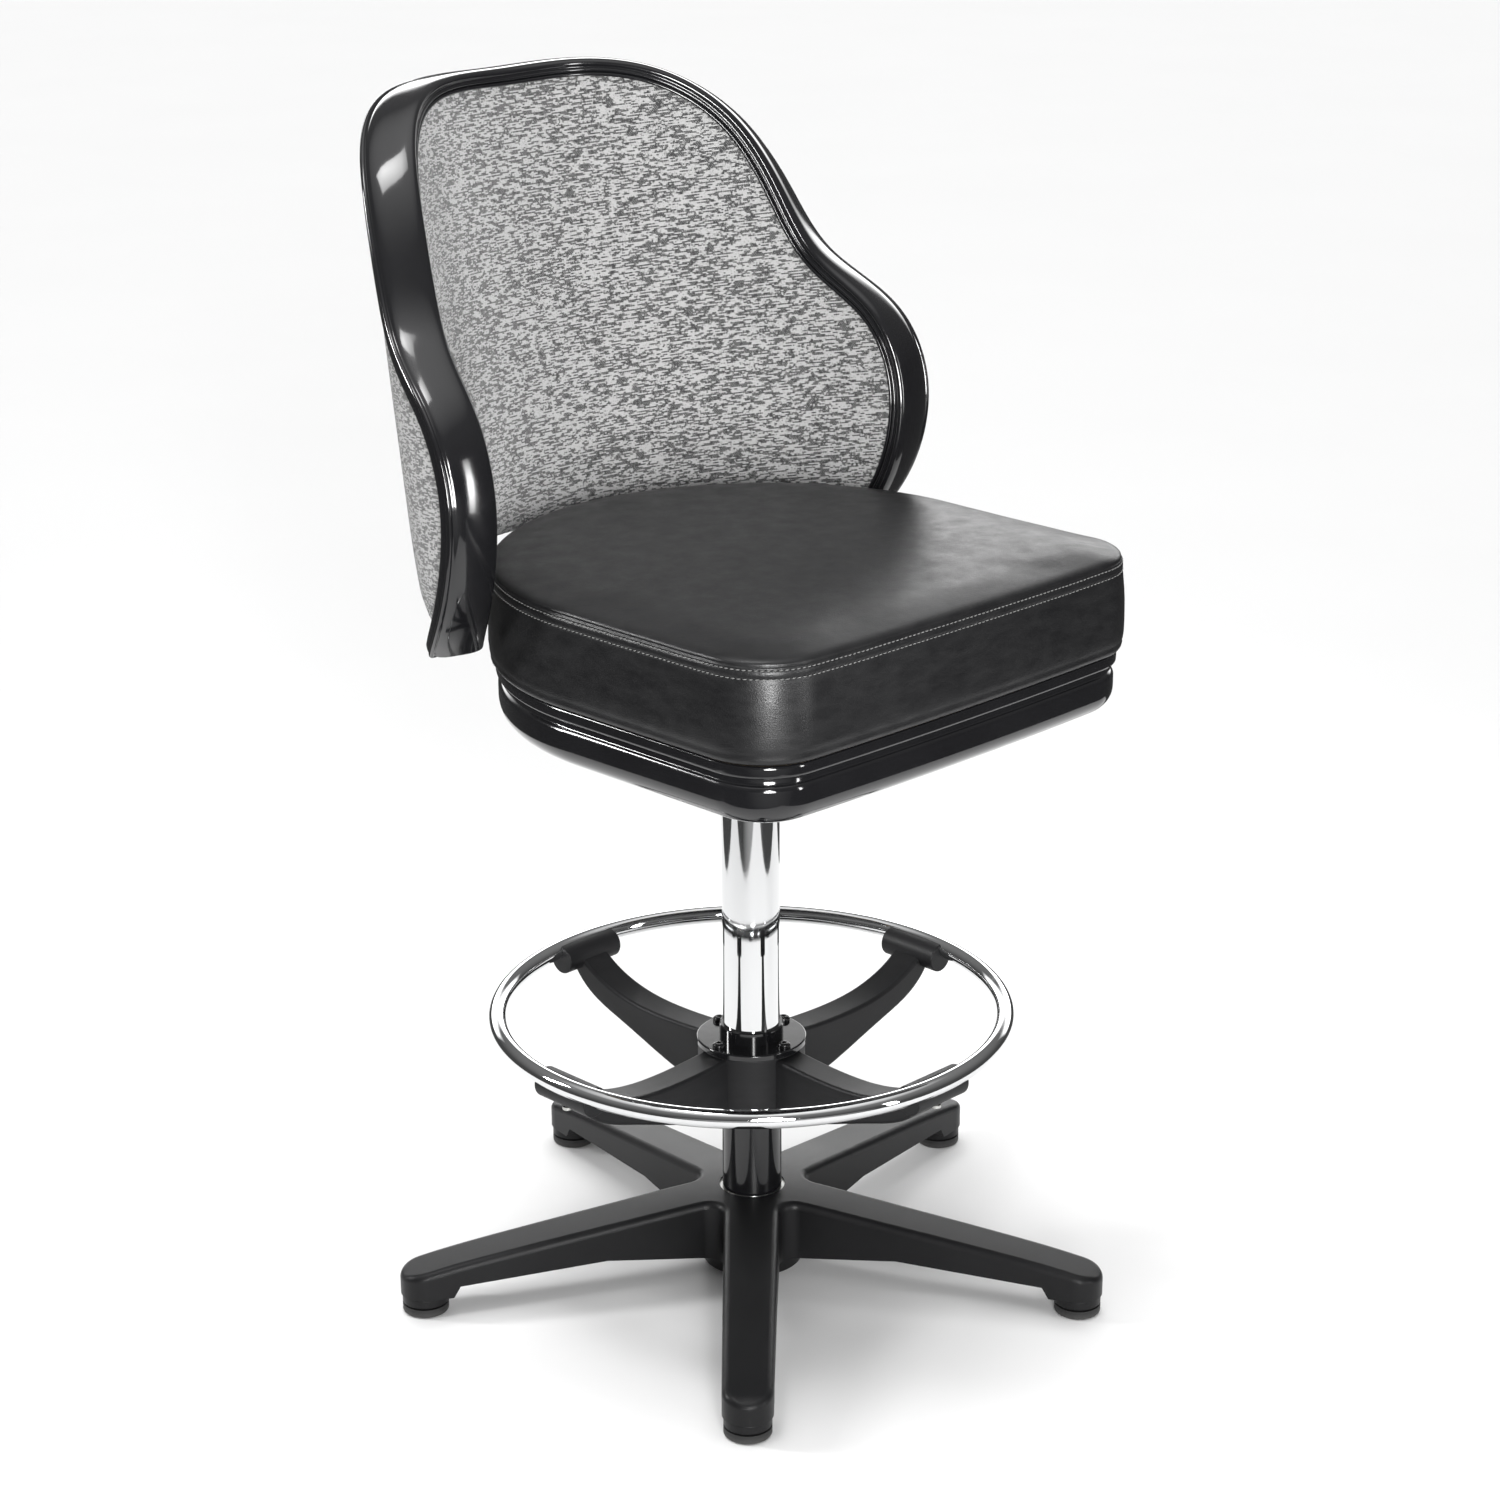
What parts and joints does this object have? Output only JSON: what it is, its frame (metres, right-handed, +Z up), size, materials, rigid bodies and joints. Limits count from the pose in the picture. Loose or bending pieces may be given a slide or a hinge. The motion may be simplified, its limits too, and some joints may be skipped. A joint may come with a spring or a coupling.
{
  "type": "drafting chair",
  "caption": "Tall swivel drafting chair with a vinyl seat, a bucket back in woven fabric with a glossy edge trim, a chrome foot ring and a five-leg base on glides.",
  "frame": {"origin": "on the floor under the swivel axis", "axes": "+Z up along the swivel axis, -Y the way the sitter faces, +X towards the sitter's left"},
  "size_m": [0.601, 0.6193, 1.0309],
  "materials": {
    "nylon_black": "satin",
    "glide_black": "satin",
    "sole_black": "matte",
    "zinc_steel": "satin",
    "chrome": "polished",
    "gloss_black": "gloss",
    "black_screws": "satin",
    "ground_steel": "satin",
    "black_steel": "satin",
    "white_acetal": "satin",
    "trim_plug_black": "satin",
    "birch_ply": "matte",
    "black_vinyl": "satin",
    "grey_weave": "matte"
  },
  "bodies": {
    "stand": {"star_base": "nylon_black", "glide_sole_1": "sole_black", "glide_sole_2": "sole_black", "glide_sole_3": "sole_black", "glide_sole_4": "sole_black", "glide_sole_5": "sole_black", "glide_cup_1": "glide_black", "glide_cup_2": "glide_black", "glide_cup_3": "glide_black", "glide_cup_4": "glide_black", "glide_cup_5": "glide_black", "glide_stems": "zinc_steel", "base_socket": "ground_steel", "base_washer": "zinc_steel", "base_bolt": "zinc_steel", "column_tube": "chrome", "column_plug": "white_acetal", "post_sleeve": "gloss_black", "foot_ring": "chrome", "ring_spider": "nylon_black", "ring_collar": "gloss_black", "collar_screws": "black_screws", "ring_screws": "zinc_steel", "upper_bush": "white_acetal", "lower_bush": "white_acetal", "lower_race": "ground_steel"},
    "ball_cage": {"bearing_balls": "ground_steel", "bearing_cage": "white_acetal"},
    "seat": {"upper_race": "ground_steel", "swivel_spindle": "ground_steel", "spindle_washer": "zinc_steel", "spindle_clip": "zinc_steel", "seat_plate": "black_steel", "plate_bolts": "zinc_steel", "support_bolts": "zinc_steel", "board_nuts": "zinc_steel", "seat_board": "birch_ply", "seat_cushion": "black_vinyl", "seat_pan": "gloss_black", "pan_screws": "zinc_steel", "back_support_left": "black_steel", "back_support_right": "black_steel", "back_bolts": "black_screws", "core_inserts": "zinc_steel", "back_core": "birch_ply", "back_pad": "grey_weave", "rear_panel": "grey_weave", "back_trim": "gloss_black", "trim_end_left": "trim_plug_black", "trim_end_right": "trim_plug_black", "panel_clips": "trim_plug_black"}
  },
  "joints": [
    {"name": "seat_swivel", "type": "hinge", "parent": "stand", "child": "seat", "pos_m": [0, 0, 0.5], "axis": [0, 0, 1], "continuous": true},
    {"name": "cage_turn", "type": "hinge", "parent": "stand", "child": "ball_cage", "pos_m": [0, 0, 0.5638], "axis": [0, 0, 1], "continuous": true}
  ],
  "couplings": [
    {"joint": "cage_turn", "follows": "seat_swivel", "ratio": 0.5}
  ]
}
